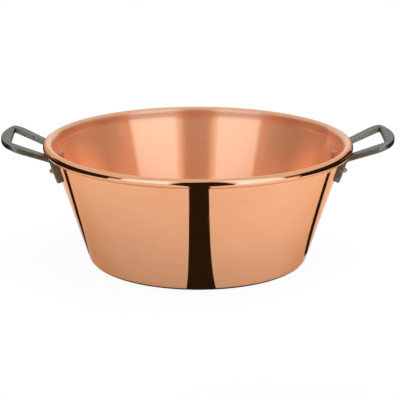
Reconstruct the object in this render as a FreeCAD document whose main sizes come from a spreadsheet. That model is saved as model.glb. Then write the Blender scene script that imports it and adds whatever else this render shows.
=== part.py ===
import FreeCAD, Part
import math
import os

import Sketcher

# Copper jam pan with two riveted cast iron loop handles. Millimetres and degrees.
# The origin is the middle of the base, where the pan stands. +X runs through the handles, +Z is up.

Vector = FreeCAD.Vector
doc = FreeCAD.newDocument("jam_pan")

# Driving dimensions
SIZES = (
    ("rim_diameter", 380.0, "outside the rolled rim"),
    ("pan_height", 151.7, "base to the top of the rim"),
    ("sheet", 1.2, "thickness of the copper sheet"),
    ("wall_angle", 18.73, "wall to the vertical"),
    ("corner_radius", 13.0, "outside, between base and wall"),
    ("crease_radius", 4.0, "inside, between wall and collar"),
    ("roll_diameter", 11.2, "outside the roll, which starts as the collar"),
    ("collar_drop", 11.6, "top of the rim down to where the wall turns into the collar"),
    ("seam_gap", 0.4, "edge of the rolled sheet to the collar"),
    ("rivet_drop", 26.7, "top of the rim down to the rivets, on the outer wall"),
    ("rivet_spacing", 71.0, "between the two rivets of a handle"),
    ("rivet_diameter", 5.0, "shank"),
    ("rivet_clearance", 0.1, "shank to its holes, head to the wall and tail to the lug"),
    ("head_diameter", 11.0, "rivet head inside the pan"),
    ("head_height", 3.0, "rivet head inside the pan"),
    ("head_lip", 0.7, "straight edge of the head"),
    ("tail_diameter", 5.8, "closed end of the rivet outside the lug"),
    ("tail_height", 3.8, "closed end of the rivet outside the lug"),
    ("tail_lip", 1.8, "straight edge of the tail"),
    ("seat_clearance", 0.1, "handle to the pan's wall and rim"),
    ("lug_width", 13.0, "across the lug"),
    ("lug_thickness", 6.0, "outwards from the wall"),
    ("lug_length", 17.5, "rivet centre to the round end of the lug, down the wall"),
    ("lug_top", 15.3, "top of the rim down to the top of the lug, inside the arm"),
    ("bar_thickness", 7.5, "arms and grip of the handle"),
    ("edge_radius", 2.0, "rounded edges of the casting"),
    ("arm_drop", 6.6, "top of the rim down to the arm's upper face at the rim's edge"),
    ("arm_slope", 21.9, "arms above the horizontal, going outwards"),
    ("grip_droop", 1.0, "grip below the horizontal, going outwards"),
    ("bend_radius", 16.0, "between arms and grip"),
    ("handle_reach", 50.8, "rim's edge to the end of the handle"),
    ("grip_depth", 14.0, "end of the handle to the window's outer edge"),
    ("window_width", 79.0, "at its outer edge, before its corners are rounded"),
    ("window_corner", 3.0, "radius of the window's corners"),
    ("neck_inside", 6.8, "rivet's line to the arm's inner side, at the wall"),
    ("neck_outside", 4.0, "rivet's line to the arm's outer side, up to the neck"),
    ("neck_inset", 7.4, "rim's edge in to the neck, where the arms start to spread"),
    ("neck_radius", 20.0, "outer side of the arms, at the neck"),
    ("arm_width", 17.0, "along Y, at the window's outer edge, before the shoulder is rounded"),
    ("grip_radius", 115.0, "end of the grip, in plan"),
    ("shoulder_radius", 15.0, "between the end of the grip and the arms, in plan"),
)

# What follows from them. Reaches are measured from the pan's axis and heights from its base.
DERIVED = (
    ("rim", "sizes.rim_diameter / 2"),
    ("roll_radius", "sizes.roll_diameter / 2"),
    ("roll_out", "rim - roll_radius"),
    ("roll_up", "sizes.pan_height - roll_radius"),
    ("collar_inside", "rim - sizes.roll_diameter"),
    ("collar_outside", "collar_inside + sizes.sheet"),
    ("seam_out", "collar_outside + sizes.seam_gap"),
    ("crease_up", "sizes.pan_height - sizes.collar_drop"),
    ("foot", "collar_outside - crease_up * tan(sizes.wall_angle)"),
    ("level_sheet", "sizes.sheet / cos(sizes.wall_angle)"),
    ("foot_inside", "foot + sizes.sheet * tan(sizes.wall_angle) - level_sheet"),
    ("crease_inside_up", "crease_up + (level_sheet - sizes.sheet) / tan(sizes.wall_angle)"),
    ("rivet_up", "sizes.pan_height - sizes.rivet_drop"),
    ("rivet_side", "sizes.rivet_spacing / 2"),
    ("rivet_out", "foot + rivet_up * tan(sizes.wall_angle)"),
    ("rivet_azimuth", "asin(rivet_side / rivet_out)"),
    ("head_sag", "sizes.head_diameter ^ 2 / 8 * cos(sizes.wall_angle) / rivet_out"),
    ("head_seat", "sizes.sheet + sizes.rivet_clearance + head_sag"),
    ("tail_seat", "sizes.lug_thickness + sizes.rivet_clearance"),
    ("lug_rise", "(sizes.rivet_drop - sizes.lug_top) / cos(sizes.wall_angle)"),
    ("lug_straight", "sizes.lug_length - sizes.lug_width / 2"),
    ("arm_root", "rivet_out - sizes.lug_width"),
    ("handle_out", "rim + sizes.handle_reach"),
    ("window_out", "handle_out - sizes.grip_depth"),
    ("window_side", "sizes.window_width / 2"),
    ("window_spread", "window_side - rivet_side + sizes.neck_inside"),
    ("window_flare", "atan(window_spread / (window_out - rivet_out))"),
    ("neck_out", "rim - sizes.neck_inset"),
    ("neck_side", "rivet_side + sizes.neck_outside"),
    ("arm_flare", "atan((window_side + sizes.arm_width - neck_side) / (window_out - neck_out))"),
    ("grip_up", "sizes.pan_height - sizes.arm_drop + (window_out - rim) * tan(sizes.arm_slope)"),
    ("past_handle", "handle_out + sizes.bar_thickness"),
    ("past_side", "window_side + 2 * sizes.arm_width"),
)


def make_sheet(name, rows):
    """Rows of alias, content and note."""
    sheet = doc.addObject("Spreadsheet::Sheet", name)
    for number, (alias, content, note) in enumerate(rows, start=1):
        sheet.set("A%d" % number, alias)
        sheet.set("B%d" % number, content)
        sheet.set("C%d" % number, note)
        sheet.setAlias("B%d" % number, alias)
    doc.recompute()
    return sheet


sizes = make_sheet("sizes", [(name, str(value), note) for name, value, note in SIZES])
derived = make_sheet("derived", [(name, "=" + formula, "") for name, formula in DERIVED])

RIVET_AZIMUTHS = {
    "rivet_right_front": "-derived.rivet_azimuth",
    "rivet_right_back": "derived.rivet_azimuth",
    "rivet_left_front": "180 deg + derived.rivet_azimuth",
    "rivet_left_back": "180 deg - derived.rivet_azimuth",
}

# The sketcher's own numbers for a line's or an arc's points, and for a sketch's axes
START, END, CENTRE = range(1, 4)
X_AXIS, Y_AXIS = range(-1, -3, -1)

# Points nearer than this are one, when edges are looked for, and each edge is looked at in so many points
TOUCHING = 0.01
SAMPLES = 5


def wall_frame(azimuth):
    """Placement on the outer wall at a rivet: Z along the wall's outward normal, X down the wall."""
    position = "create(<<vector>>; {0} * cos({1}); {0} * sin({1}); derived.rivet_up)".format(
        "derived.rivet_out", azimuth)
    turn = "create(<<rotation>>; %s; 90 + sizes.wall_angle; 0)" % azimuth
    return "create(<<placement>>; %s; %s)" % (position, turn)


def origin_plane(body, role):
    return next(item for item in body.Origin.OriginFeatures if item.Role == role)


def new_body(name):
    body = doc.addObject("PartDesign::Body", name)
    body.Label = name
    return body


def new_sketch(body, name, role, offset=None):
    sketch = body.newObject("Sketcher::SketchObject", name)
    sketch.AttachmentSupport = [(origin_plane(body, role), "")]
    sketch.MapMode = "FlatFace"
    if offset:
        sketch.setExpression("AttachmentOffset", offset)
    return sketch


def outline(sketch, points):
    """Lines from point to point. Gives their numbers in the sketch."""
    return [sketch.addGeometry(Part.LineSegment(Vector(*start, 0), Vector(*end, 0)))
            for start, end in zip(points, points[1:])]


def arc(sketch, centre, radius, first, last):
    circle = Part.Circle(Vector(*centre, 0), Vector(0, 0, 1), radius)
    return sketch.addGeometry(Part.ArcOfCircle(circle, math.radians(first), math.radians(last)))


def rule(sketch, kind, *items):
    return sketch.addConstraint(Sketcher.Constraint(kind, *items))


def rules(sketch, kind, group):
    for items in group:
        rule(sketch, kind, *items)


def size(sketch, kind, items, value, name, expression):
    """A dimension of the sketch that follows the sheets."""
    index = rule(sketch, kind, *items, value)
    sketch.renameConstraint(index, name)
    sketch.setExpression("Constraints." + name, expression)


def feature(body, kind, name, **values):
    item = body.newObject("PartDesign::" + kind, name)
    for key, value in values.items():
        setattr(item, key, value)
    return item


def revolve(body, kind, name, sketch):
    return feature(body, kind, name, Profile=sketch, ReferenceAxis=(sketch, ["V_Axis"]), Angle=360.0)


def round_edges(body, name, chosen, radius):
    """Fillet on the edges of the body's last feature for which chosen(edge) is true."""
    doc.recompute()
    base = body.Tip
    names = ["Edge%d" % (i + 1) for i, edge in enumerate(base.Shape.Edges) if chosen(edge)]
    fillet = feature(body, "Fillet", name, Base=(base, names))
    fillet.setExpression("Radius", radius)
    doc.recompute()
    return fillet


def check_cut(item, before):
    doc.recompute()
    if item.Shape.Volume >= before:
        raise RuntimeError(item.Name + " cuts nothing")


def circle_at(radius, height):
    """Test for a ring edge round the Z axis."""
    def test(edge):
        curve = edge.Curve
        return (curve.TypeId == "Part::GeomCircle" and abs(curve.Radius - radius) < TOUCHING
                and abs(curve.Center.z - height) < TOUCHING)
    return test


def pan_section(sketch):
    """Half section: base, wall and collar, then the sheet rolled outwards and back to the collar."""
    roll_centre = (derived.roll_out, derived.roll_up)
    inner_roll = derived.roll_radius - sizes.sheet
    curl = [-math.degrees(math.acos((derived.seam_out - derived.roll_out) / radius))
            for radius in (inner_roll, derived.roll_radius)]
    base_out, wall_out, collar_out = outline(sketch, (
        (0, 0), (derived.foot, 0), (derived.collar_outside, derived.crease_up),
        (derived.collar_outside, derived.roll_up)))
    roll_in = arc(sketch, roll_centre, inner_roll, curl[0], 180)
    edge, = outline(sketch, [
        (derived.seam_out, derived.roll_up + radius * math.sin(math.radians(first)))
        for radius, first in zip((inner_roll, derived.roll_radius), curl)])
    roll_out = arc(sketch, roll_centre, derived.roll_radius, curl[1], 180)
    collar_in, wall_in, base_in, axis = outline(sketch, (
        (derived.collar_inside, derived.roll_up), (derived.collar_inside, derived.crease_inside_up),
        (derived.foot_inside, sizes.sheet), (0, sizes.sheet), (0, 0)))
    rules(sketch, "Coincident", (
        (X_AXIS, START, base_out, START), (base_out, END, wall_out, START),
        (wall_out, END, collar_out, START), (roll_in, START, edge, START),
        (edge, END, roll_out, START), (collar_in, END, wall_in, START),
        (wall_in, END, base_in, START), (base_in, END, axis, START), (axis, END, base_out, START),
        (roll_in, CENTRE, roll_out, CENTRE)))
    rules(sketch, "Tangent", ((collar_out, END, roll_in, END), (roll_out, END, collar_in, START)))
    rules(sketch, "Horizontal", ((base_out,), (base_in,)))
    rules(sketch, "Vertical", ((collar_out,), (collar_in,), (edge,), (axis,)))
    rule(sketch, "Parallel", wall_out, wall_in)
    size(sketch, "Angle", (base_out, wall_out), math.radians(90 - sizes.wall_angle), "lean",
         "90 - sizes.wall_angle")
    size(sketch, "Distance", (axis,), sizes.sheet, "base_sheet", "sizes.sheet")
    size(sketch, "Distance", (wall_in, END, wall_out), sizes.sheet, "wall_sheet", "sizes.sheet")
    size(sketch, "DistanceY", (X_AXIS, START, wall_out, END), derived.crease_up, "crease",
         "derived.crease_up")
    size(sketch, "DistanceX", (X_AXIS, START, edge, START), derived.seam_out, "seam", "derived.seam_out")
    size(sketch, "Radius", (roll_out,), derived.roll_radius, "roll", "derived.roll_radius")
    size(sketch, "Radius", (roll_in,), inner_roll, "roll_inside", "derived.roll_radius - sizes.sheet")
    size(sketch, "DistanceX", (X_AXIS, START, roll_out, CENTRE), derived.roll_out, "rim",
         "derived.roll_out")
    size(sketch, "DistanceY", (X_AXIS, START, roll_out, CENTRE), derived.roll_up, "rim_up",
         "derived.roll_up")


def drill(body, name, azimuth):
    """Rivet hole along the wall's normal, from outside the lug to just inside the wall."""
    sketch = new_sketch(body, name + "_circle", "XY_Plane", wall_frame(azimuth))
    radius = sizes.rivet_diameter / 2 + sizes.rivet_clearance
    hole = sketch.addGeometry(Part.Circle(Vector(0, 0, 0), Vector(0, 0, 1), radius))
    rule(sketch, "Coincident", hole, CENTRE, X_AXIS, START)
    size(sketch, "Radius", (hole,), radius, "hole", "sizes.rivet_diameter / 2 + sizes.rivet_clearance")
    before = body.Tip.Shape.Volume
    cut = feature(body, "Pocket", name, Profile=sketch, Midplane=True)
    cut.setExpression("Length", "2 * (sizes.lug_thickness + 2 * sizes.sheet)")
    check_cut(cut, before)


def make_pan():
    body = new_body("pan_body")
    sketch = new_sketch(body, "pan_section", "XZ_Plane")
    pan_section(sketch)
    revolve(body, "Revolution", "pan_shell", sketch)
    round_edges(body, "corner_outside", circle_at(derived.foot, 0), "sizes.corner_radius")
    round_edges(body, "corner_inside", circle_at(derived.foot_inside, sizes.sheet),
                "sizes.corner_radius - sizes.sheet")
    round_edges(body, "crease_inside", circle_at(derived.collar_inside, derived.crease_inside_up),
                "sizes.crease_radius")
    round_edges(body, "crease_outside", circle_at(derived.collar_outside, derived.crease_up),
                "sizes.crease_radius + sizes.sheet")
    for name, azimuth in RIVET_AZIMUTHS.items():
        drill(body, name + "_hole", azimuth)
    return body


def handle_profile(sketch):
    """Side view of arm and grip: a bar that rises outwards and flattens at the grip."""
    slope = math.tan(math.radians(sizes.arm_slope))
    root_up = derived.grip_up - (derived.window_out - derived.arm_root) * slope
    top_arm, top_grip, end, low_grip, low_arm, root = outline(sketch, (
        (derived.arm_root, root_up), (derived.window_out, derived.grip_up),
        (derived.past_handle, derived.grip_up), (derived.past_handle, derived.grip_up - sizes.bar_thickness),
        (derived.window_out, derived.grip_up - sizes.bar_thickness),
        (derived.arm_root, root_up - sizes.bar_thickness), (derived.arm_root, root_up)))
    rules(sketch, "Coincident", (
        (top_arm, END, top_grip, START), (top_grip, END, end, START), (end, END, low_grip, START),
        (low_grip, END, low_arm, START), (low_arm, END, root, START), (root, END, top_arm, START)))
    rules(sketch, "Vertical", ((end,), (root,)))
    rules(sketch, "Parallel", ((top_arm, low_arm), (top_grip, low_grip)))
    size(sketch, "Angle", (X_AXIS, top_arm), math.radians(sizes.arm_slope), "arm", "sizes.arm_slope")
    size(sketch, "Angle", (X_AXIS, top_grip), -math.radians(sizes.grip_droop), "grip", "-sizes.grip_droop")
    size(sketch, "DistanceX", (X_AXIS, START, top_arm, END), derived.window_out, "bend_out",
         "derived.window_out")
    size(sketch, "DistanceY", (X_AXIS, START, top_arm, END), derived.grip_up, "bend_up", "derived.grip_up")
    size(sketch, "Distance", (low_arm, END, top_arm), sizes.bar_thickness, "arm_bar", "sizes.bar_thickness")
    size(sketch, "Distance", (low_grip, END, top_grip), sizes.bar_thickness, "grip_bar",
         "sizes.bar_thickness")
    size(sketch, "DistanceX", (X_AXIS, START, root, START), derived.arm_root, "root", "derived.arm_root")
    size(sketch, "DistanceX", (X_AXIS, START, end, START), derived.past_handle, "past", "derived.past_handle")


def shoulder_centre():
    """Centre of the arc that touches both the end of the grip and the arm's outer side, in plan."""
    flare = math.radians(derived.arm_flare.Value)
    along = Vector(math.cos(flare), math.sin(flare), 0)
    inwards = Vector(math.sin(flare), -math.cos(flare), 0)
    grip = Vector(derived.handle_out - sizes.grip_radius, 0, 0)
    foot = Vector(derived.neck_out, derived.neck_side, 0) + inwards * sizes.shoulder_radius
    nearest = foot + along * (grip - foot).dot(along)
    reach = sizes.grip_radius - sizes.shoulder_radius
    return nearest + along * math.sqrt(reach ** 2 - (nearest - grip).Length ** 2)


def outer_plan(sketch):
    """Plan view of what is cut away round the grip, the shoulder and the outer side of an arm."""
    centre = shoulder_centre()
    flare = derived.arm_flare.Value
    turn = math.degrees(math.atan2(centre.y, centre.x - derived.handle_out + sizes.grip_radius))
    end_of_side = (centre.x - sizes.shoulder_radius * math.sin(math.radians(flare)),
                   centre.y + sizes.shoulder_radius * math.cos(math.radians(flare)))
    grip = arc(sketch, (derived.handle_out - sizes.grip_radius, 0), sizes.grip_radius, 0, turn)
    shoulder = arc(sketch, (centre.x, centre.y), sizes.shoulder_radius, turn, 90 + flare)
    side, neck, root, far, past, middle = outline(sketch, (
        end_of_side, (derived.neck_out, derived.neck_side), (derived.arm_root, derived.neck_side),
        (derived.arm_root, derived.past_side), (derived.past_handle, derived.past_side),
        (derived.past_handle, 0), (derived.handle_out, 0)))
    rules(sketch, "Tangent", ((grip, END, shoulder, START), (shoulder, END, side, START)))
    rules(sketch, "Coincident", (
        (side, END, neck, START), (neck, END, root, START), (root, END, far, START),
        (far, END, past, START), (past, END, middle, START), (middle, END, grip, START)))
    rules(sketch, "Horizontal", ((neck,), (far,)))
    rules(sketch, "Vertical", ((root,), (past,)))
    rules(sketch, "PointOnObject", ((grip, CENTRE, X_AXIS), (grip, START, X_AXIS), (past, END, X_AXIS)))
    size(sketch, "Radius", (grip,), sizes.grip_radius, "grip", "sizes.grip_radius")
    size(sketch, "Radius", (shoulder,), sizes.shoulder_radius, "shoulder", "sizes.shoulder_radius")
    size(sketch, "Angle", (X_AXIS, side), math.radians(flare - 180), "flare",
         "derived.arm_flare - 180 deg")
    size(sketch, "DistanceX", (X_AXIS, START, middle, END), derived.handle_out, "reach",
         "derived.handle_out")
    size(sketch, "DistanceX", (X_AXIS, START, root, START), derived.arm_root, "root", "derived.arm_root")
    size(sketch, "DistanceX", (X_AXIS, START, neck, START), derived.neck_out, "neck", "derived.neck_out")
    size(sketch, "DistanceY", (X_AXIS, START, neck, START), derived.neck_side, "neck_side",
         "derived.neck_side")
    size(sketch, "DistanceX", (X_AXIS, START, past, START), derived.past_handle, "past",
         "derived.past_handle")
    size(sketch, "DistanceY", (X_AXIS, START, past, START), derived.past_side, "past_side",
         "derived.past_side")


def window_plan(sketch):
    """Plan view of half the window, which is open towards the pan."""
    flare = math.radians(derived.window_flare.Value)
    root_side = derived.window_side - (derived.window_out - derived.arm_root) * math.tan(flare)
    middle, outer, side, root = outline(sketch, (
        (derived.arm_root, 0), (derived.window_out, 0), (derived.window_out, derived.window_side),
        (derived.arm_root, root_side), (derived.arm_root, 0)))
    rules(sketch, "Coincident", (
        (middle, END, outer, START), (outer, END, side, START), (side, END, root, START),
        (root, END, middle, START)))
    rules(sketch, "Vertical", ((outer,), (root,)))
    rules(sketch, "PointOnObject", ((middle, START, X_AXIS), (middle, END, X_AXIS)))
    size(sketch, "DistanceX", (X_AXIS, START, outer, START), derived.window_out, "reach",
         "derived.window_out")
    size(sketch, "Distance", (outer,), derived.window_side, "half_width", "derived.window_side")
    size(sketch, "Angle", (X_AXIS, side), flare - math.pi, "flare", "derived.window_flare - 180 deg")
    size(sketch, "DistanceX", (X_AXIS, START, root, START), derived.arm_root, "root", "derived.arm_root")


def lug_outline(sketch):
    """Seen square to the wall: straight sides and a round lower end."""
    half = sizes.lug_width / 2
    left, = outline(sketch, ((-derived.lug_rise, -half), (derived.lug_straight, -half)))
    tip = arc(sketch, (derived.lug_straight, 0), half, -90, 90)
    right, top = outline(sketch, (
        (derived.lug_straight, half), (-derived.lug_rise, half), (-derived.lug_rise, -half)))
    rules(sketch, "Tangent", ((left, END, tip, START), (tip, END, right, START)))
    rules(sketch, "Coincident", ((right, END, top, START), (top, END, left, START)))
    rules(sketch, "Horizontal", ((left,), (right,)))
    rule(sketch, "Vertical", top)
    rule(sketch, "PointOnObject", tip, CENTRE, X_AXIS)
    size(sketch, "Radius", (tip,), half, "half_width", "sizes.lug_width / 2")
    size(sketch, "DistanceX", (X_AXIS, START, tip, CENTRE), derived.lug_straight, "straight",
         "derived.lug_straight")
    size(sketch, "DistanceX", (top, START, X_AXIS, START), derived.lug_rise, "rise", "derived.lug_rise")


def pan_room(sketch):
    """Half section of the room that the wall and the rolled rim take, with the handle's clearance."""
    foot_room = derived.foot + sizes.seat_clearance / math.cos(math.radians(sizes.wall_angle))
    roll_room = derived.roll_radius + sizes.seat_clearance
    shelf_up = derived.roll_up - roll_room
    shelf_out = foot_room + shelf_up * math.tan(math.radians(sizes.wall_angle))
    rim_room = derived.roll_out + roll_room
    foot, seat, shelf = outline(sketch, (
        (0, 0), (foot_room, 0), (shelf_out, shelf_up), (derived.roll_out, shelf_up)))
    roll = arc(sketch, (derived.roll_out, derived.roll_up), roll_room, -90, 0)
    past, lid, axis = outline(sketch, (
        (rim_room, derived.roll_up), (rim_room, sizes.pan_height), (0, sizes.pan_height), (0, 0)))
    rules(sketch, "Coincident", (
        (X_AXIS, START, foot, START), (foot, END, seat, START), (seat, END, shelf, START),
        (past, END, lid, START), (lid, END, axis, START), (axis, END, foot, START)))
    rules(sketch, "Tangent", ((shelf, END, roll, START), (roll, END, past, START)))
    rules(sketch, "Horizontal", ((foot,), (shelf,), (lid,)))
    rules(sketch, "Vertical", ((past,), (axis,)))
    size(sketch, "Distance", (foot,), foot_room, "foot",
         "derived.foot + sizes.seat_clearance / cos(sizes.wall_angle)")
    size(sketch, "Angle", (X_AXIS, seat), math.radians(90 - sizes.wall_angle), "lean",
         "90 - sizes.wall_angle")
    size(sketch, "DistanceX", (X_AXIS, START, roll, CENTRE), derived.roll_out, "roll_out",
         "derived.roll_out")
    size(sketch, "DistanceY", (X_AXIS, START, roll, CENTRE), derived.roll_up, "roll_up",
         "derived.roll_up")
    size(sketch, "Radius", (roll,), roll_room, "roll", "derived.roll_radius + sizes.seat_clearance")
    size(sketch, "Distance", (axis,), sizes.pan_height, "lid", "sizes.pan_height")


def upright(face):
    return abs(face.normalAt(*face.Surface.parameter(face.CenterOfMass)).z) < TOUCHING


def ends(edge):
    return edge.firstVertex().Point, edge.lastVertex().Point


def upright_at(x, y):
    """Test for an upright edge that crosses the plan at (x, y)."""
    def test(edge):
        return all(math.hypot(point.x - x, point.y - y) < TOUCHING for point in ends(edge))
    return test


def across_at(x, reach):
    """Test for an edge along Y, no further than reach from x."""
    def test(edge):
        first, last = ends(edge)
        along_y = abs(first.x - last.x) < TOUCHING and abs(first.z - last.z) < TOUCHING
        return along_y and abs(first.x - x) < reach
    return test


def bar_rim(shape):
    """Test for edges between the bar's upper or lower face and its sides, without middle and root."""
    root = min(vertex.X for vertex in shape.Vertexes)

    def test(edge):
        points = edge.discretize(SAMPLES)
        in_middle = all(abs(point.y) < TOUCHING for point in points)
        at_root = all(abs(point.x - root) < TOUCHING for point in points)
        sides = [upright(face) for face in shape.ancestorsOfType(edge, Part.Face)]
        return not in_middle and not at_root and sides.count(True) == 1
    return test


def lug_face_rim(seat):
    """Test for the edges round the lug's outer face, but not where it runs into the arm."""
    def test(edge):
        points = edge.discretize(SAMPLES)
        heights = [seat.inverse().multVec(point).z for point in points]
        on_face = all(abs(height - sizes.lug_thickness) < TOUCHING for height in heights)
        return on_face and min(point.z for point in points) < derived.rivet_up
    return test


def make_handle(name, turn):
    """One casting. The half beyond Y = 0 is built, fitted to the pan, drilled and mirrored."""
    body = new_body(name)
    profile = new_sketch(body, name + "_profile", "XZ_Plane")
    handle_profile(profile)
    bar = feature(body, "Pad", name + "_bar", Profile=profile, Reversed=True)
    bar.setExpression("Length", "derived.past_side")
    round_edges(body, name + "_bend", across_at(derived.window_out, sizes.bar_thickness),
                "sizes.bend_radius")
    for part, draw in (("outside", outer_plan), ("window", window_plan)):
        plan = new_sketch(body, "%s_%s_plan" % (name, part), "XY_Plane")
        draw(plan)
        before = body.Tip.Shape.Volume
        cut = feature(body, "Pocket", "%s_%s" % (name, part), Profile=plan, Type="ThroughAll", Midplane=True)
        check_cut(cut, before)
    round_edges(body, name + "_neck", upright_at(derived.neck_out, derived.neck_side), "sizes.neck_radius")
    round_edges(body, name + "_corner", upright_at(derived.window_out, derived.window_side),
                "sizes.window_corner")
    round_edges(body, name + "_edges", bar_rim(body.Tip.Shape), "sizes.edge_radius")
    lug_sketch = new_sketch(body, name + "_lug_outline", "XY_Plane", wall_frame("derived.rivet_azimuth"))
    lug_outline(lug_sketch)
    lug = feature(body, "Pad", name + "_lug", Profile=lug_sketch, SideType="Two sides")
    lug.setExpression("Length", "sizes.lug_thickness")
    lug.setExpression("Length2", "sizes.sheet")
    doc.recompute()
    round_edges(body, name + "_lug_edges", lug_face_rim(lug_sketch.Placement), "sizes.edge_radius")
    room = new_sketch(body, name + "_pan_room", "XZ_Plane")
    pan_room(room)
    before = body.Tip.Shape.Volume
    check_cut(revolve(body, "Groove", name + "_seat", room), before)
    drill(body, name + "_hole", "derived.rivet_azimuth")
    whole = feature(body, "Mirrored", name + "_whole", MirrorPlane=(origin_plane(body, "XZ_Plane"), [""]),
                    TransformMode="Whole shape")
    body.Tip = whole
    body.Placement.Rotation = FreeCAD.Rotation(Vector(0, 0, 1), turn)
    doc.recompute()
    return body


def dome_angle(half_width, height):
    """Where the arc of a dome ends, seen from the arc's centre, as degrees off the dome's axis."""
    radius = (half_width ** 2 + height ** 2) / (2 * height)
    return radius, math.degrees(math.asin(half_width / radius))


def rivet_section(sketch):
    """Half section, Z outwards along the rivet and 0 at the pan's outer face: domed head, shank and tail."""
    head_half, shank_half, tail_half = (
        diameter / 2 for diameter in (sizes.head_diameter, sizes.rivet_diameter, sizes.tail_diameter))
    lip_down = -derived.head_seat - sizes.head_lip
    head_down = -derived.head_seat - sizes.head_height
    lip_up = derived.tail_seat + sizes.tail_lip
    tail_up = derived.tail_seat + sizes.tail_height
    head_radius, head_turn = dome_angle(head_half, sizes.head_height - sizes.head_lip)
    tail_radius, tail_turn = dome_angle(tail_half, sizes.tail_height - sizes.tail_lip)
    head = arc(sketch, (0, head_down + head_radius), head_radius, -90, head_turn - 90)
    lip, under, shank, step, tail_lip = outline(sketch, (
        (head_half, lip_down), (head_half, -derived.head_seat), (shank_half, -derived.head_seat),
        (shank_half, derived.tail_seat), (tail_half, derived.tail_seat), (tail_half, lip_up)))
    tail = arc(sketch, (0, tail_up - tail_radius), tail_radius, 90 - tail_turn, 90)
    axis, = outline(sketch, ((0, tail_up), (0, head_down)))
    rules(sketch, "Coincident", (
        (head, END, lip, START), (lip, END, under, START), (under, END, shank, START),
        (shank, END, step, START), (step, END, tail_lip, START), (tail_lip, END, tail, START),
        (tail, END, axis, START), (axis, END, head, START)))
    rules(sketch, "Vertical", ((lip,), (shank,), (tail_lip,), (axis,)))
    rules(sketch, "Horizontal", ((under,), (step,)))
    rules(sketch, "PointOnObject", ((head, CENTRE, Y_AXIS), (tail, CENTRE, Y_AXIS), (axis, START, Y_AXIS)))
    size(sketch, "DistanceX", (X_AXIS, START, under, START), head_half, "head", "sizes.head_diameter / 2")
    size(sketch, "DistanceX", (X_AXIS, START, shank, START), shank_half, "shank",
         "sizes.rivet_diameter / 2")
    size(sketch, "DistanceX", (X_AXIS, START, tail_lip, START), tail_half, "tail",
         "sizes.tail_diameter / 2")
    size(sketch, "DistanceY", (under, START, X_AXIS, START), derived.head_seat, "seat",
         "derived.head_seat")
    size(sketch, "Distance", (lip,), sizes.head_lip, "lip", "sizes.head_lip")
    size(sketch, "DistanceY", (axis, END, under, END), sizes.head_height, "head_height",
         "sizes.head_height")
    size(sketch, "DistanceY", (X_AXIS, START, step, START), derived.tail_seat, "lug",
         "derived.tail_seat")
    size(sketch, "Distance", (tail_lip,), sizes.tail_lip, "tail_lip", "sizes.tail_lip")
    size(sketch, "DistanceY", (step, START, axis, START), sizes.tail_height, "tail_height",
         "sizes.tail_height")


def make_rivet(name, azimuth):
    body = new_body(name)
    section = new_sketch(body, name + "_section", "XZ_Plane")
    rivet_section(section)
    revolve(body, "Revolution", name + "_turned", section)
    body.setExpression("Placement", wall_frame(azimuth))
    doc.recompute()
    return body


parts = [make_pan()]
parts += [make_handle("handle_right", 0), make_handle("handle_left", 180)]
parts += [make_rivet(name, azimuth) for name, azimuth in RIVET_AZIMUTHS.items()]
for item in doc.Objects:
    if "Invalid" in item.State or "Error" in item.State:
        raise RuntimeError("%s failed: %s" % (item.Name, item.State))
for body in parts:
    if body.Shape.isNull() or not body.Shape.isValid():
        raise RuntimeError(body.Label + " has no valid shape")
os.makedirs("parts", exist_ok=True)
for body in parts:
    body.Shape.exportStep("parts/%s.step" % body.Label)
    print(body.Label, "solids", len(body.Shape.Solids), "mm3", round(body.Shape.Volume))
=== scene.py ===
import math

import bpy
from mathutils import Matrix, Vector


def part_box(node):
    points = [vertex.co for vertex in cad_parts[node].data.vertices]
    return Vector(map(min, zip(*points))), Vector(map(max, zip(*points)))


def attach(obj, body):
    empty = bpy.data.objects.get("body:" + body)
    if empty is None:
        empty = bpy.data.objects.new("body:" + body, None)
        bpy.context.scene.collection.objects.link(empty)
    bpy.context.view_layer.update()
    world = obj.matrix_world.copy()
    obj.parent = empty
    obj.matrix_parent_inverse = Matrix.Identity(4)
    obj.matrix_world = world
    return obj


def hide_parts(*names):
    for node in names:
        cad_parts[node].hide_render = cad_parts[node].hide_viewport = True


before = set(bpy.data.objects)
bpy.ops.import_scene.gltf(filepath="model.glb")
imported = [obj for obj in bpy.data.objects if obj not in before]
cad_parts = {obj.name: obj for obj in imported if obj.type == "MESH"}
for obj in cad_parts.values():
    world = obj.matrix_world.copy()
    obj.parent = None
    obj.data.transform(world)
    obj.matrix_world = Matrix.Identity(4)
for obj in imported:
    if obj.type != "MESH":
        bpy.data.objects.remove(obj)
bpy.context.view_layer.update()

# Camera, fitted to the photo's rim, base and handles. Metres, degrees and pixels.
IMAGE = 400
FOCAL = 1939.1
DISTANCE = 2.400
ELEVATION = 15.65
AIM = (0.00256, 0.07564)
ROLL = 0.127
PAN_TURN = 1.06
SENSOR = 36.0
FAR_CLIP = 100.0

# The pan's section, as in the CAD model, but with the inside of the crease softer by up to 0.3 mm
PAN_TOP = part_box("pan_body")[1]
RIM = min(PAN_TOP[0], PAN_TOP[1])
HEIGHT = PAN_TOP[2]
SHEET = 0.0012
WALL_ANGLE = math.radians(18.73)
CORNER = 0.013
CREASE = 0.004
CREASE_INSIDE = 0.028
ROLL_RADIUS = 0.0056
COLLAR_DROP = 0.0116
SEAM_GAP = 0.0004

# How finely the section is drawn and turned
ROUND_STEPS = 288
CORNER_STEPS = 10
CREASE_STEPS = 5
CREASE_INSIDE_STEPS = 16
ROLL_TOP_STEPS = 22
ROLL_OUT_STEPS = 32
ROLL_IN_STEPS = 24
LONGEST_FACE = 0.012

# The pan's finishes: brushed inside, duller at the edge and polished outside. The polish starts so many
# degrees round the roll from its outer side.
WALL_FINISH, EDGE_FINISH, OUTER_FINISH = range(3)
POLISH_LINE = 85

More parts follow.
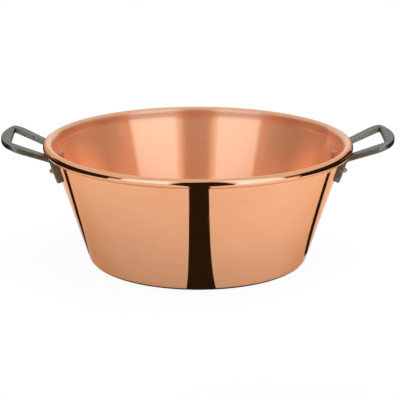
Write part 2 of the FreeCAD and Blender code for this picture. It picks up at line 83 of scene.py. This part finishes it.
# Colours of the metals, from dark to light, and what dims them at a grazing view
POLISHED_COPPER = ((0.775, 0.355, 0.175), (0.825, 0.395, 0.205))
WALL_COPPER = ((0.92, 0.385, 0.175), (0.96, 0.415, 0.20))
EDGE_COPPER = ((0.78, 0.385, 0.20), (0.82, 0.415, 0.225))
DULL_COPPER = ((0.55, 0.22, 0.12), (0.80, 0.36, 0.22))
# The iron's lighter grey goes on faces turned up and its darker brown on faces turned sideways or down:
# painted light and shade.
PAINTED_LIT_IRON = ((0.21, 0.20, 0.182), (0.36, 0.345, 0.32))
BROWN_IRON = ((0.10, 0.08, 0.052), (0.26, 0.21, 0.145))
GRAZING_COPPER = (0.9, 0.65, 0.5)
GRAZING_IRON = (0.4, 0.38, 0.36)

# The height of a face's normal where the painted light starts to turn the iron grey and where it is all grey,
# and how much that wavers. The grey of faces turned up and the brown of faces turned sideways or down are
# painted light and shade.
PAINTED_LIGHT_FROM, PAINTED_LIGHT_TO = 0.5, 0.95
PAINTED_LIGHT_WAVER = 0.1

# Marks of the hammer on a rivet in each metre, and the turn that draws reflections up and down the wall
DENTS_PER_METRE = 550.0
QUARTER_TURN = 0.25

# Most of a noise lies between these two
NOISE_LOW, NOISE_HIGH = 0.3, 0.7

# Numbers of the Mix node's colour sockets, which share their names with its other sockets
MIX_ONE, MIX_OTHER, MIX_RESULT = 6, 7, 2

# Floor, with the shares of it that glow white for the camera and in reflections
FLOOR = 0.0
FLOOR_SIDE = 30.0
FLOOR_GREY = (0.93, 0.93, 0.93)
FLOOR_SEEN = 0.94
FLOOR_MIRRORED = 0.33

# Light of the room and the lamps. Brightness 1 is white. The softboxes are far cooler than white, so that
# the copper that mirrors them turns cream.
WHITE = (1, 1, 1)
WORLD_LIGHT = 1.0
ROOM_MIRRORED = (0.92, 1.0, 1.04)
SOFTBOX_LIGHT = 0.9
SOFTBOX_COLOUR = (0.3, 1.05, 1.9)
TOP_PLACE = (0.4, -0.2, 1.6)
TOP_SIDE = 1.4
TOP_LIGHT = 2.2
TOP_COLOUR = (1.2, 0.95, 0.9)

# Softboxes stand upright on the floor, and each has its near and its far end here
LEFT_BOX = ((-0.292, -0.842), (-2.22, -1.50))
RIGHT_BOX = ((0.172, -0.443), (1.305, -0.744))
BOX_HEIGHT = 1.5

# Outline of the dark gap between their near ends: shares of the way from left to right, and heights
GAP = ((0, FLOOR), (1, FLOOR), (0.92, 0.33), (0.84, 0.70), (0.32, 0.70), (0.22, 0.42))

# Beside the softboxes the room is dim in reflections as far back as LEFT_DIM or RIGHT_DIM, and then dark
# as far as ROOM_BACK. Both go up to the elevation SIDE_TOP.
SIDE_TOP = math.radians(27)
ROOM_BACK = 2.0
LEFT_DIM = -1.056
RIGHT_DIM = -0.397

# Dark cards that lie on the floor. The disc under the pan is a painted contact shadow: its mirror image
# darkens the edge of the pan's base.
CARD_BLACK = (0.025, 0.02, 0.015)
CARD_DIM = (0.3, 0.16, 0.1)
CARD_LIFT = 0.001
SHADE_LIFT = 0.0003
SHADE_RADIUS = 0.1313
DARK_FLOORS = {
    "front": ((-0.0317, -0.32), LEFT_BOX[0], RIGHT_BOX[0], (0.0383, -0.32)),
    "left": ((-0.36, -0.228), (LEFT_BOX[1][0], LEFT_DIM), (LEFT_BOX[1][0], ROOM_BACK),
             (-0.215, ROOM_BACK), (-0.215, 0.30), (-0.36, 0.30)),
    "right": ((0.36, -0.196), (RIGHT_BOX[1][0], RIGHT_DIM), (RIGHT_BOX[1][0], ROOM_BACK),
              (0.215, ROOM_BACK), (0.215, 0.30), (0.36, 0.30)),
}

# Strips among them that show as dark lines on the wall, as the points of their two long sides
STRIPES = {
    "front": (((-0.0123, -0.10), (-0.0357, -0.32)), ((0.0181, -0.10), (0.0299, -0.32))),
    "left": (((-0.140, 0.014), (-0.213, 0.103), (-0.270, 0.142), (-0.330, 0.180)),
             ((-0.142, 0.008), (-0.225, 0.066), (-0.281, 0.099), (-0.330, 0.125))),
    "right": (((0.145, -0.016), (0.233, 0.035), (0.285, 0.064), (0.330, 0.089)),
              ((0.145, 0.010), (0.226, 0.070), (0.284, 0.106), (0.330, 0.135))),
}


def make_camera():
    """Camera that looks along +Y and down at the pan, which is turned a little in the photo."""
    data = bpy.data.cameras.new("camera")
    data.sensor_width = SENSOR
    data.lens = FOCAL / IMAGE * SENSOR
    data.clip_end = FAR_CLIP
    camera = bpy.data.objects.new("camera", data)
    bpy.context.scene.collection.objects.link(camera)
    down = math.radians(ELEVATION)
    turn = Matrix.Rotation(-math.radians(PAN_TURN), 4, "Z")
    place = Matrix.Translation((AIM[0], -DISTANCE * math.cos(down), AIM[1] + DISTANCE * math.sin(down)))
    tilt = Matrix.Rotation(math.pi / 2 - down, 4, "X")
    camera.matrix_world = turn @ place @ tilt @ Matrix.Rotation(math.radians(ROLL), 4, "Z")
    bpy.context.scene.camera = camera


class Nodes:
    """Short names for adding and joining shader nodes."""

    def __init__(self, tree):
        self.tree = tree
        tree.nodes.clear()

    def fill(self, socket, value):
        """Link to another node's output, or a value. A colour gets its fourth number here."""
        if isinstance(value, bpy.types.NodeSocket):
            self.tree.links.new(value, socket)
        elif socket.type == "RGBA":
            socket.default_value = (*value, 1)
        else:
            socket.default_value = value

    def add(self, kind, values=(), **settings):
        node = self.tree.nodes.new("ShaderNode" + kind)
        for key, value in settings.items():
            setattr(node, key, value)
        for key, value in dict(values).items():
            self.fill(node.inputs[key], value)
        return node

    def math(self, operation, *values):
        return self.add("Math", enumerate(values), operation=operation).outputs[0]


def new_material(name):
    material = bpy.data.materials.new(name)
    material.use_nodes = True
    return material, Nodes(material.node_tree)


def turned_lines(nodes, spacing, waver):
    """Noise drawn out round the pan's axis: the fine lines that a lathe or a turned brush leaves."""
    place = nodes.add("SeparateXYZ", {0: nodes.add("TexCoord").outputs["Object"]})
    x, y, z = place.outputs
    out = nodes.math("SQRT", nodes.math("ADD", nodes.math("MULTIPLY", x, x), nodes.math("MULTIPLY", y, y)))
    along = nodes.math("MULTIPLY", nodes.math("ADD", out, z), waver / spacing)
    stretched = nodes.add("CombineXYZ", {0: x, 1: y, 2: along}).outputs[0]
    noise = nodes.add("TexNoise", {"Vector": stretched, "Scale": 1 / waver, "Detail": 2.0})
    return noise.outputs["Fac"]


def clouds(nodes, size, detail=3.0):
    """Even noise with spots of about the given size."""
    place = nodes.add("TexCoord").outputs["Object"]
    return nodes.add("TexNoise", {"Vector": place, "Scale": 1 / size, "Detail": detail}).outputs["Fac"]


def spread(nodes, share, low, high):
    """A noise, stretched to run from low to high."""
    return nodes.add("MapRange", {"Value": share, "From Min": NOISE_LOW, "From Max": NOISE_HIGH,
                                  "To Min": low, "To Max": high}).outputs[0]


def blend(nodes, share, one, other):
    """Colour between two others, which are values or come from nodes."""
    mix = nodes.add("Mix", data_type="RGBA")
    nodes.fill(mix.inputs["Factor"], share)
    nodes.fill(mix.inputs[MIX_ONE], one)
    nodes.fill(mix.inputs[MIX_OTHER], other)
    return mix.outputs[MIX_RESULT]


def bump(nodes, depth, height):
    return nodes.add("Bump", {"Strength": 1.0, "Distance": depth, "Height": height}).outputs[0]


def finish_material(nodes, kind, values):
    """The shader that gives a material or a stage card its look."""
    shader = nodes.add(kind, values)
    nodes.add("OutputMaterial", {"Surface": shader.outputs[0]})


def polished_copper():
    """Mirror bright copper with the faint lines of the polishing wheel."""
    material, nodes = new_material("polished_copper")
    lines = turned_lines(nodes, spacing=0.0022, waver=0.12)
    patches = clouds(nodes, size=0.03)
    both = nodes.math("MULTIPLY_ADD", lines, 0.5, nodes.math("MULTIPLY", patches, 0.5))
    finish_material(nodes, "BsdfPrincipled", {
        "Base Color": blend(nodes, spread(nodes, both, low=0, high=1), *POLISHED_COPPER),
        "Metallic": 1.0,
        "Roughness": spread(nodes, patches, low=0.03, high=0.07),
        "Specular Tint": GRAZING_COPPER,
        "Normal": bump(nodes, depth=0.0000015, height=lines),
    })
    return material


def brushed_copper(name, colours, metallic, roughness):
    """Copper brushed round the axis, which draws reflections out up and down the wall."""
    material, nodes = new_material(name)
    lines = turned_lines(nodes, spacing=0.0012, waver=0.05)
    finish_material(nodes, "BsdfPrincipled", {
        "Base Color": blend(nodes, spread(nodes, lines, low=0, high=1), *colours),
        "Metallic": metallic,
        "Roughness": roughness,
        "Anisotropic": 1.0,
        "Anisotropic Rotation": QUARTER_TURN,
        "Tangent": nodes.add("Tangent", direction_type="RADIAL", axis="Z").outputs[0],
        "Normal": bump(nodes, depth=0.000006, height=lines),
    })
    return material


def rivet_copper():
    """Dull copper with the dents of the hammer that closed it."""
    material, nodes = new_material("rivet_copper")
    tarnish = clouds(nodes, size=0.004)
    place = nodes.add("TexCoord").outputs["Object"]
    dents = nodes.add("TexVoronoi", {"Vector": place, "Scale": DENTS_PER_METRE, "Smoothness": 0.6},
                      feature="SMOOTH_F1")
    finish_material(nodes, "BsdfPrincipled", {
        "Base Color": blend(nodes, spread(nodes, tarnish, low=0, high=1), *DULL_COPPER),
        "Metallic": 0.8,
        "Roughness": spread(nodes, tarnish, low=0.45, high=0.28),
        "Normal": bump(nodes, depth=0.0002, height=dents.outputs["Distance"]),
    })
    return material


def cast_iron():
    """Iron with the grain of the sand mould: brown, with painted light that turns it grey where it faces up.
    """
    material, nodes = new_material("cast_iron")
    grain = clouds(nodes, size=0.0016, detail=4.0)
    bloom = clouds(nodes, size=0.02)
    # Painted light and shade: the higher a face's normal points, the more the iron turns from the darker
    # brown to the lighter grey.
    facing_up = nodes.add("SeparateXYZ", {0: nodes.add("TexCoord").outputs["Normal"]}).outputs[2]
    uneven = nodes.math("MULTIPLY_ADD", spread(nodes, bloom, low=-1, high=1), PAINTED_LIGHT_WAVER, facing_up)
    painted_light = nodes.add("MapRange", {"Value": uneven, "From Min": PAINTED_LIGHT_FROM, "From Max": PAINTED_LIGHT_TO}).outputs[0]
    grains = spread(nodes, grain, low=0, high=1)
    finish_material(nodes, "BsdfPrincipled", {
        "Base Color": blend(nodes, painted_light, blend(nodes, grains, *BROWN_IRON), blend(nodes, grains, *PAINTED_LIT_IRON)),
        "Metallic": 0.9,
        "Roughness": spread(nodes, grain, low=0.38, high=0.22),
        "Specular Tint": GRAZING_IRON,
        "Normal": bump(nodes, depth=0.0004, height=grain),
    })
    return material


def dress(node, material):
    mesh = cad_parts[node].data
    mesh.materials.clear()
    mesh.materials.append(material)


def bend(corner, radius, before, after, steps):
    """Points of the arc that rounds a corner of the section, between the directions before and after."""
    before, after = Vector(before).normalized(), Vector(after).normalized()
    turn = before.angle(after)
    reach = radius * math.tan(turn / 2)
    side = 1 if before.cross(after) > 0 else -1
    centre = Vector(corner) - before * reach + side * radius * Vector((-before.y, before.x))
    start = Vector(corner) - before * reach - centre
    return [centre + Matrix.Rotation(side * turn * step / steps, 2) @ start for step in range(steps + 1)]


def arc(centre, radius, first, last, steps):
    """Points of the section on an arc from the first to the last angle, which are in degrees."""
    angles = [math.radians(first + (last - first) * step / steps) for step in range(steps + 1)]
    return [Vector((centre[0] + radius * math.cos(a), centre[1] + radius * math.sin(a))) for a in angles]


def pan_section():
    """From the middle of the base up the inside, round the roll and down the outside: points and finish."""
    up = Vector((math.sin(WALL_ANGLE), math.cos(WALL_ANGLE)))
    collar_inside = RIM - 2 * ROLL_RADIUS
    collar = collar_inside + SHEET
    crease_up = HEIGHT - COLLAR_DROP
    foot = collar - crease_up * math.tan(WALL_ANGLE)
    foot_inside = foot + SHEET * math.tan(WALL_ANGLE) - SHEET / math.cos(WALL_ANGLE)
    crease_inside_up = crease_up + (SHEET / math.cos(WALL_ANGLE) - SHEET) / math.tan(WALL_ANGLE)
    roll = (RIM - ROLL_RADIUS, HEIGHT - ROLL_RADIUS)
    seam = collar + SEAM_GAP - roll[0]
    curl = [-math.degrees(math.acos(seam / radius)) for radius in (ROLL_RADIUS, ROLL_RADIUS - SHEET)]
    level, upright = (1, 0), (0, 1)
    inside = [Vector((0, SHEET))]
    inside += bend((foot_inside, SHEET), CORNER - SHEET, level, up, CORNER_STEPS)
    crease = bend((collar_inside, crease_inside_up), CREASE_INSIDE, up, upright, CREASE_INSIDE_STEPS)
    middle = len(crease) // 2
    roll_top = arc(roll, ROLL_RADIUS, 180, POLISH_LINE, ROLL_TOP_STEPS)
    outside = arc(roll, ROLL_RADIUS, POLISH_LINE, curl[0], ROLL_OUT_STEPS)[1:]
    outside += arc(roll, ROLL_RADIUS - SHEET, curl[1], 180, ROLL_IN_STEPS)
    outside += bend((collar, crease_up), CREASE + SHEET, (0, -1), -up, CREASE_STEPS)
    outside += bend((foot, 0), CORNER, -up, (-1, 0), CORNER_STEPS)
    outside += [Vector((0, 0))]
    return (
        (inside + crease[:middle], WALL_FINISH),
        (crease[middle:] + roll_top, EDGE_FINISH),
        (outside, OUTER_FINISH),
    )


def fill_in(points):
    """The same line with more points on its long runs."""
    line = [points[0]]
    for point in points[1:]:
        start = line[-1]
        steps = max(1, math.ceil((point - start).length / LONGEST_FACE))
        line += [start.lerp(point, step / steps) for step in range(1, steps + 1)]
    return line


def make_pan(materials):
    """The section turned round the axis, with one material for each finish."""
    section = []
    for points, finish in pan_section():
        section += [(point, finish) for point in fill_in(points)]
    middle_in, middle_out = section[0], section[-1]
    rings = section[1:-1]
    verts = [(0, 0, middle_in[0].y)]
    for point, _ in rings:
        for step in range(ROUND_STEPS):
            angle = 2 * math.pi * step / ROUND_STEPS
            verts.append((point.x * math.cos(angle), point.x * math.sin(angle), point.y))
    verts.append((0, 0, middle_out[0].y))
    faces, slots = [], []
    for step in range(ROUND_STEPS):
        after = (step + 1) % ROUND_STEPS
        faces.append((0, 1 + step, 1 + after))
        slots.append(WALL_FINISH)
        for ring in range(len(rings) - 1):
            low, high = 1 + ring * ROUND_STEPS, 1 + (ring + 1) * ROUND_STEPS
            faces.append((low + step, high + step, high + after, low + after))
            slots.append(rings[ring][1])
        last = 1 + (len(rings) - 1) * ROUND_STEPS
        faces.append((last + step, len(verts) - 1, last + after))
        slots.append(OUTER_FINISH)
    mesh = bpy.data.meshes.new("pan_sheet")
    mesh.from_pydata(verts, [], faces)
    for material in materials:
        mesh.materials.append(material)
    mesh.polygons.foreach_set("material_index", slots)
    mesh.validate()
    mesh.shade_smooth()
    pan = bpy.data.objects.new("pan_sheet", mesh)
    bpy.context.scene.collection.objects.link(pan)
    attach(pan, "root")
    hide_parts("pan_body")


def mirrored_rays(nodes):
    """1 for reflected and see-through rays, 0 for the rest."""
    path = nodes.add("LightPath")
    return nodes.math("MAXIMUM", path.outputs["Is Glossy Ray"], path.outputs["Is Transmission Ray"])


def camera_rays(nodes):
    return nodes.add("LightPath").outputs["Is Camera Ray"]


def make_floor():
    """White where it is looked at or mirrored, with part of its light left to the lamps for the shadow."""
    mesh = bpy.data.meshes.new("floor")
    sides = ((-1, -1), (1, -1), (1, 1), (-1, 1))
    mesh.from_pydata([(x * FLOOR_SIDE, y * FLOOR_SIDE, FLOOR) for x, y in sides], [], [(0, 1, 2, 3)])
    floor = bpy.data.objects.new("floor", mesh)
    bpy.context.scene.collection.objects.link(floor)
    material, nodes = new_material("floor")
    diffuse = nodes.add("BsdfDiffuse", {"Color": FLOOR_GREY})
    glow = nodes.add("Emission", {"Color": WHITE, "Strength": 1.0})
    mirrored = nodes.math("MULTIPLY", mirrored_rays(nodes), FLOOR_MIRRORED)
    share = nodes.math("MULTIPLY_ADD", camera_rays(nodes), FLOOR_SEEN, mirrored)
    finish_material(nodes, "MixShader", {0: share, 1: diffuse.outputs[0], 2: glow.outputs[0]})
    mesh.materials.append(material)


def make_world():
    """White for the camera and a little cooler everywhere else."""
    world = bpy.data.worlds.new("studio")
    bpy.context.scene.world = world
    world.use_nodes = True
    nodes = Nodes(world.node_tree)
    colour = blend(nodes, camera_rays(nodes), ROOM_MIRRORED, WHITE)
    background = nodes.add("Background", {"Color": colour, "Strength": WORLD_LIGHT})
    nodes.add("OutputWorld", {"Surface": background.outputs[0]})


def area_lamp(name, middle, aim, width, height, brightness, colour):
    """Lamp whose flat surface shines with the given brightness."""
    data = bpy.data.lights.new(name, "AREA")
    data.shape = "RECTANGLE"
    data.size, data.size_y = width, height
    data.energy = math.pi * width * height * brightness
    data.color = colour
    lamp = bpy.data.objects.new(name, data)
    lamp.location = middle
    lamp.rotation_euler = (Vector(aim) - Vector(middle)).to_track_quat("-Z", "Y").to_euler()
    bpy.context.scene.collection.objects.link(lamp)
    return lamp


def make_lamps():
    """Two softboxes that the pan mirrors, and a warm light from above that it doesn't."""
    for name, (near, far) in (("left_softbox", LEFT_BOX), ("right_softbox", RIGHT_BOX)):
        near, far = Vector(near), Vector(far)
        middle = (near + far) / 2
        along = (far - near).normalized()
        inwards = Vector((-along.y, along.x))
        if inwards.dot(middle) > 0:
            inwards = -inwards
        place = (*middle, BOX_HEIGHT / 2)
        aim = (*(middle + inwards), BOX_HEIGHT / 2)
        area_lamp(name, place, aim, (far - near).length, BOX_HEIGHT, SOFTBOX_LIGHT, SOFTBOX_COLOUR)
    top_light = area_lamp("top_light", TOP_PLACE, (0, 0, 0), TOP_SIDE, TOP_SIDE, TOP_LIGHT, TOP_COLOUR)
    top_light.visible_glossy = False


def card(name, corners, material, lights_room=True):
    """Flat card for reflections, which the camera doesn't see and which casts no shadow."""
    mesh = bpy.data.meshes.new(name)
    mesh.from_pydata(corners, [], [tuple(range(len(corners)))])
    mesh.materials.append(material)
    item = bpy.data.objects.new(name, mesh)
    bpy.context.scene.collection.objects.link(item)
    item.visible_camera = False
    item.visible_diffuse = lights_room
    item.visible_shadow = False
    item.visible_transmission = False


def floor_card(name, outline, material, lift=CARD_LIFT):
    card(name, [(*point, FLOOR + lift) for point in outline], material, lights_room=False)


def side_card(name, ends, material):
    """Upright card from the floor up to an elevation as the pan's rim sees it."""
    rim = Vector((0, -RIM))
    reach = min((Vector(end) - rim).length for end in ends)
    height = HEIGHT + reach * math.tan(SIDE_TOP)
    card(name, [(*ends[0], FLOOR), (*ends[1], FLOOR), (*ends[1], height), (*ends[0], height)], material)


def card_material(name, glow):
    material, nodes = new_material(name)
    finish_material(nodes, "Emission", {"Color": glow, "Strength": 1.0})
    return material


def make_cards():
    """All that is dark in reflections."""
    black = card_material("card_black", CARD_BLACK)
    dim = card_material("card_dim", CARD_DIM)
    for name, (one_side, other_side) in STRIPES.items():
        floor_card("stripe_" + name, one_side + other_side[::-1], black)
    for name, outline in DARK_FLOORS.items():
        floor_card("floor_" + name, outline, black)
    # The disc under the pan is a painted contact shadow, seen only in reflections.
    spokes = [2 * math.pi * step / ROUND_STEPS for step in range(ROUND_STEPS)]
    disc = [(SHADE_RADIUS * math.cos(angle), SHADE_RADIUS * math.sin(angle)) for angle in spokes]
    floor_card("shade_under_pan", disc, black, SHADE_LIFT)
    left, right = Vector(LEFT_BOX[0]), Vector(RIGHT_BOX[0])
    card("dark_gap", [(*left.lerp(right, share), height) for share, height in GAP], black)
    for name, box, dim_end in (("left", LEFT_BOX[1], LEFT_DIM), ("right", RIGHT_BOX[1], RIGHT_DIM)):
        side_card("dim_" + name, (box, (box[0], dim_end)), dim)
        side_card("dark_" + name, ((box[0], dim_end), (box[0], ROOM_BACK)), black)


bpy.context.scene.view_settings.view_transform = "Standard"
make_camera()
make_world()
make_floor()
make_lamps()
make_cards()
iron = cast_iron()
rivets = rivet_copper()
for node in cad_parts:
    dress(node, iron if node.startswith("handle") else rivets)
make_pan([
    brushed_copper("brushed_copper", WALL_COPPER, metallic=0.6, roughness=0.2),
    brushed_copper("brushed_edge", EDGE_COPPER, metallic=0.8, roughness=0.32),
    polished_copper(),
])
